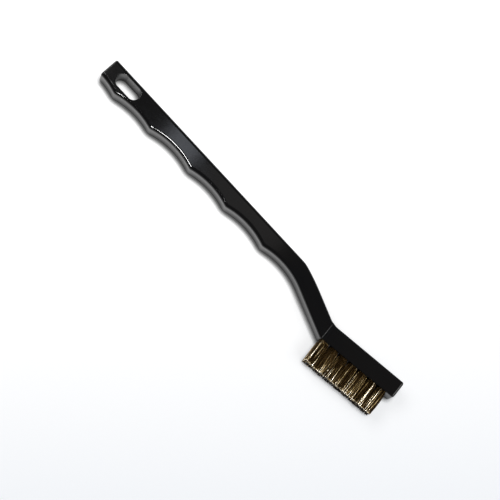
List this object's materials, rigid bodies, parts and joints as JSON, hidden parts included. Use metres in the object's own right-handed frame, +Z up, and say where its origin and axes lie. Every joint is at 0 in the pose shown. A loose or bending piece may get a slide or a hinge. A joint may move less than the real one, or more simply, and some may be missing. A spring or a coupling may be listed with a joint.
{
  "type": "brass wire brush",
  "caption": "Slim hand brush: a bent plastic handle with finger scallops and a hang slot, and rows of brass wire tufts stapled into its head.",
  "frame": {"origin": "middle of the brush's outline, on the surface that it lies on", "axes": "the brush lies on its left side: +X from the tail to the head, +Y to the back of the handle, away from the wires, +Z up, to the brush's right side"},
  "size_m": [0.1798, 0.0278, 0.011],
  "materials": {
    "handle": "moulded gloss black",
    "wire": "drawn wire, darkened, bright at the cut tips",
    "anchor": "flat wire, plain"
  },
  "bodies": {
    "root": {"handle": "handle", "tuft_left_1": "wire", "tuft_left_2": "wire", "tuft_left_3": "wire", "tuft_left_4": "wire", "tuft_left_5": "wire", "tuft_left_6": "wire", "tuft_left_7": "wire", "tuft_middle_1": "wire", "tuft_middle_2": "wire", "tuft_middle_3": "wire", "tuft_middle_4": "wire", "tuft_middle_5": "wire", "tuft_middle_6": "wire", "tuft_middle_7": "wire", "tuft_right_1": "wire", "tuft_right_2": "wire", "tuft_right_3": "wire", "tuft_right_4": "wire", "tuft_right_5": "wire", "tuft_right_6": "wire", "tuft_right_7": "wire", "anchor_left_1": "anchor", "anchor_left_2": "anchor", "anchor_left_3": "anchor", "anchor_left_4": "anchor", "anchor_left_5": "anchor", "anchor_left_6": "anchor", "anchor_left_7": "anchor", "anchor_middle_1": "anchor", "anchor_middle_2": "anchor", "anchor_middle_3": "anchor", "anchor_middle_4": "anchor", "anchor_middle_5": "anchor", "anchor_middle_6": "anchor", "anchor_middle_7": "anchor", "anchor_right_1": "anchor", "anchor_right_2": "anchor", "anchor_right_3": "anchor", "anchor_right_4": "anchor", "anchor_right_5": "anchor", "anchor_right_6": "anchor", "anchor_right_7": "anchor"}
  },
  "joints": []
}
